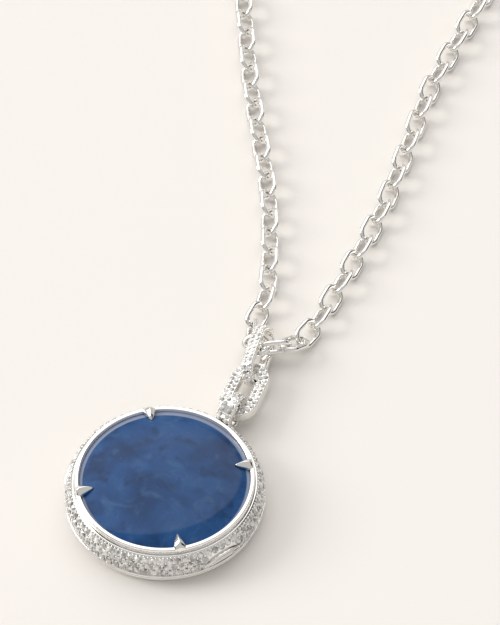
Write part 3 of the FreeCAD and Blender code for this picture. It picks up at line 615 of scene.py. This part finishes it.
# %% Oval link
OVAL, oval_size = measured("middle_link", 67.5, 7.0)
oval_width, oval_length, oval_thick = oval_size
arm = 1.6
half_thick = oval_thick / 2
bar = round_corners([(-arm / 2, -half_thick), (arm / 2, -half_thick), (arm / 2, half_thick),
                     (-arm / 2, half_thick)], 0.22)
points, faces = sweep(stadium_path(oval_length, oval_width, arm / 2), lambda place: bar)
add_edge_split(add_mesh("oval_link", points, faces, SILVER, "middle_link", OVAL,
                        instead_of=("middle_link",)), CRISP)
link_stones, link_beads = [], []
for inset, shift in ((0.46, 0.0), (1.14, 0.5)):
    for spot, out in evenly(stadium_path(oval_length, oval_width, inset), 0.74, shift):
        link_stones.append((spot + UP * (half_thick + 0.03), UP, 0.33))
for inset, pitch in ((0.1, 0.5), (0.8, 0.4), (1.5, 0.5)):
    for spot, out in evenly(stadium_path(oval_length, oval_width, inset), pitch):
        link_beads.append((spot + UP * (half_thick - 0.04), UP, 0.13))
scatter("oval_link_stones", brilliant(), link_stones, MELEE, "middle_link", OVAL, False,
                ("link_melee",))
scatter("oval_link_beads", bead(), link_beads, BEADS, "middle_link", OVAL, True)

# %% Bail
BAIL, bail_size = measured("bail", 73.0, 20.0)
bail_width, bail_length, bail_depth = bail_size
# the hoop stands on edge: its path lies in the plane of its length and depth
STAND = Matrix(((0, 0, 1, 0), (0, 1, 0, 0), (1, 0, 0, 0), (0, 0, 0, 1)))
band = 0.75
strap = round_corners([(-band / 2, -bail_width / 2), (band / 2, -bail_width / 2),
                       (band / 2, bail_width / 2), (-band / 2, bail_width / 2)], 0.2)
points, faces = sweep(stadium_path(bail_length, bail_depth, band / 2), lambda place: strap)
add_edge_split(add_mesh("bail_hoop", points, faces, SILVER, "bail", BAIL @ STAND,
                        instead_of=("bail",)), CRISP)
bail_stones, bail_beads = [], []
outline = stadium_path(bail_length, bail_depth, 0.0)
for offset, shift in ((-0.36, 0.0), (0.36, 0.5)):
    for spot, out in evenly(outline, 0.72, shift):
        if out.x > -0.2:
            bail_stones.append((spot + UP * offset + out * 0.03, out, 0.32))
for offset, pitch in ((-0.7, 0.5), (0.0, 0.4), (0.7, 0.5)):
    for spot, out in evenly(outline, pitch):
        if out.x > -0.3:
            bail_beads.append((spot + UP * offset - out * 0.04, out, 0.12))
scatter("bail_stones", brilliant(), bail_stones, MELEE, "bail", BAIL @ STAND, False,
                ("bail_melee",))
scatter("bail_beads", bead(), bail_beads, BEADS, "bail", BAIL @ STAND, True)

# %% Tapered loop
LOOP = PENDANT @ Matrix.Translation((0, 15.85, 2.65))
OUTER, HOLE = 2.55, 1.6

def loop_half_width(along):
    """Wide at the pendant and narrow at the front."""
    t = min(max((along + 1.25) / 4.0, 0.0), 1.0)
    return 1.12 - 0.62 * t

loop_path = []
for place in range(96):
    turn = 2 * math.pi * place / 96
    outward = Vector((0, math.cos(turn), math.sin(turn)))
    loop_path.append((Vector((0, 0, 0)), outward, Vector((1, 0, 0))))

def loop_section(place):
    half = loop_half_width(loop_path[place][1].y * OUTER)
    return round_corners([(HOLE, -half), (OUTER, -half), (OUTER, half), (HOLE, half)], 0.18)

points, faces = sweep(loop_path, loop_section)
add_edge_split(add_mesh("hanging_loop", points, faces, SILVER, "pendant", LOOP,
                        instead_of=("pendant_loop",)), CRISP)
loop_stones, loop_beads = [], []
for place in range(12):
    turn = math.radians(-30 + 17.5 * place)
    out = Vector((0, math.cos(turn), math.sin(turn)))
    half = loop_half_width(out.y * OUTER)
    for offset in (-half / 2, half / 2) if half > 0.75 else (0.0,):
        loop_stones.append((out * (OUTER + 0.03) + Vector((offset, 0, 0)), out, 0.34))
for place in range(23):
    turn = math.radians(-34 + 9 * place)
    out = Vector((0, math.cos(turn), math.sin(turn)))
    half = loop_half_width(out.y * OUTER) - 0.12
    for offset in (-half, half):
        loop_beads.append((out * (OUTER - 0.04) + Vector((offset, 0, 0)), out, 0.12))
scatter("loop_stones", brilliant(), loop_stones, MELEE, "pendant", LOOP, False,
                ("loop_melee",))
scatter("loop_beads", bead(), loop_beads, BEADS, "pendant", LOOP, True)

# %% [markdown]
# ## Chain, rings and clasp
# The chain links, the rings and the clasp are the solid model's own shapes, with their wire size
# and place unchanged, because the links were fitted through one another there. They could be drawn
# again with a finer mesh, but a drawn link would no longer be the one that was fitted. They get a
# finish.

# %% Finishes on the solid model's own pieces
FINISHES = {"cabochon_layer": LAYER, "clasp_spring": WORN, "clasp_pin": WORN, "back_gallery": WORN}
for name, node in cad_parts.items():
    if not node.hide_render:
        node.data.materials.clear()
        node.data.materials.append(FINISHES.get(name, SILVER))

# %% [markdown]
# ## Table, light and camera
# Jewellery is lit by large soft sources, because silver shows whatever stands round it. A broad
# light from the upper left gives the soft shadow. The room has one bright round patch beyond the
# piece, which the dome and the flat faces mirror, and is dimmer elsewhere. Dark cards at the sides
# draw the dark lines that make the metal read as metal.

# %% Table top
def panel(name, centre, size, facing, material):
    """A flat rectangle that faces a point; nothing of it belongs to the necklace."""
    half_x, half_y = size[0] / 2, size[1] / 2
    mesh = bpy.data.meshes.new(name)
    mesh.from_pydata([(-half_x, -half_y, 0), (half_x, -half_y, 0), (half_x, half_y, 0),
                      (-half_x, half_y, 0)], [], [(0, 1, 2, 3)])
    mesh.materials.append(material)
    thing = bpy.data.objects.new(name, mesh)
    bpy.context.scene.collection.objects.link(thing)
    thing.location = centre
    aim = Vector(facing) - Vector(centre)
    thing.rotation_euler = aim.to_track_quat("Z", "Y").to_euler()
    thing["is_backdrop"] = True
    return thing

table_finish = Finish("table_paper", Roughness=0.9, Specular_IOR_Level=0.1)
table_finish.vary("Base Color", table_finish.blend(
    table_finish.noise(30.0), (0.9, 0.868, 0.828, 1.0), (0.905, 0.875, 0.837, 1.0)))
panel("table", (0, 0, 0), (6, 6), (0, 0, 1), table_finish.material)

# %% Lights and dark cards
LIT_SPOT = Vector((0.012, 0.03, 0))  # metres, between the pendant and the bail

def soft_light(name, position, size, power, colour=(1, 1, 1)):
    lamp = bpy.data.lights.new(name, "AREA")
    lamp.shape = "RECTANGLE"
    lamp.size, lamp.size_y = size
    lamp.energy = power
    lamp.color = colour
    thing = bpy.data.objects.new(name, lamp)
    thing.location = position
    thing.rotation_euler = (LIT_SPOT - Vector(position)).to_track_quat(
        "-Z", "Y").to_euler()
    bpy.context.scene.collection.objects.link(thing)

soft_light("key_left", (-2.1, 0.5, 1.3), (1.2, 1.2), 30.0, (1.0, 0.985, 0.965))

dark = Finish("dark_card", Roughness=0.9)
dark.shader.inputs["Base Color"].default_value = (0.02, 0.02, 0.02, 1.0)
panel("card_right", (0.75, 0.1, 0.28), (0.5, 0.4), (0, 0, 0), dark.material)
panel("card_left", (-0.7, -0.35, 0.2), (0.4, 0.3), (0, 0, 0), dark.material)

# a bright round patch high on the far side, dimmer all round it and towards the horizon
world = bpy.data.worlds.new("studio")
bpy.context.scene.world = world
world.use_nodes = True
room = world.node_tree
split = room.nodes.new("ShaderNodeSeparateXYZ")
room.links.new(room.nodes.new("ShaderNodeTexCoord").outputs["Generated"], split.inputs[0])
sideways, away, upward = (Signal(room, split.outputs[place]) for place in range(3))
PATCH_LIGHT, ROOM_LIGHT = 1.08, 0.56
lit = (away * 0.6 + upward * 0.79 - sideways * 0.1).step(0.795, 0.812)
lit = lit * upward.step(0.2, 0.6)
background = room.nodes["Background"]
background.inputs["Color"].default_value = (1.0, 0.985, 0.965, 1.0)
room.links.new((lit * PATCH_LIGHT + ROOM_LIGHT).socket, background.inputs["Strength"])
bpy.context.scene.view_settings.view_transform = "Standard"

# %% Camera
# The camera is far away with a long lens, which is how small jewellery is taken.
TARGET = Vector((0.01165, 0.03205, 0.0))
ELEVATION = math.radians(51.32)
DISTANCE = 0.652
ROLL = math.radians(-0.95)
camera_data = bpy.data.cameras.new("camera")
camera_data.lens = 274.04
camera_data.sensor_width = 36
camera = bpy.data.objects.new("camera", camera_data)
bpy.context.scene.collection.objects.link(camera)
bpy.context.scene.camera = camera
camera.location = TARGET + DISTANCE * Vector((0, -math.cos(ELEVATION), math.sin(ELEVATION)))
look = Matrix.Rotation(math.pi / 2 - ELEVATION, 4, "X") @ Matrix.Rotation(ROLL, 4, "Z")
camera.rotation_euler = look.to_euler()
camera_data.clip_start = 0.01

box_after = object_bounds()
# a positive shift of the low corner makes the box smaller, one of the high corner larger
for label, after, before in zip(("low", "high"), box_after, box_before):
    print(label, "corner moved", [round((a - b) / MM, 2) for a, b in zip(after, before)], "mm")
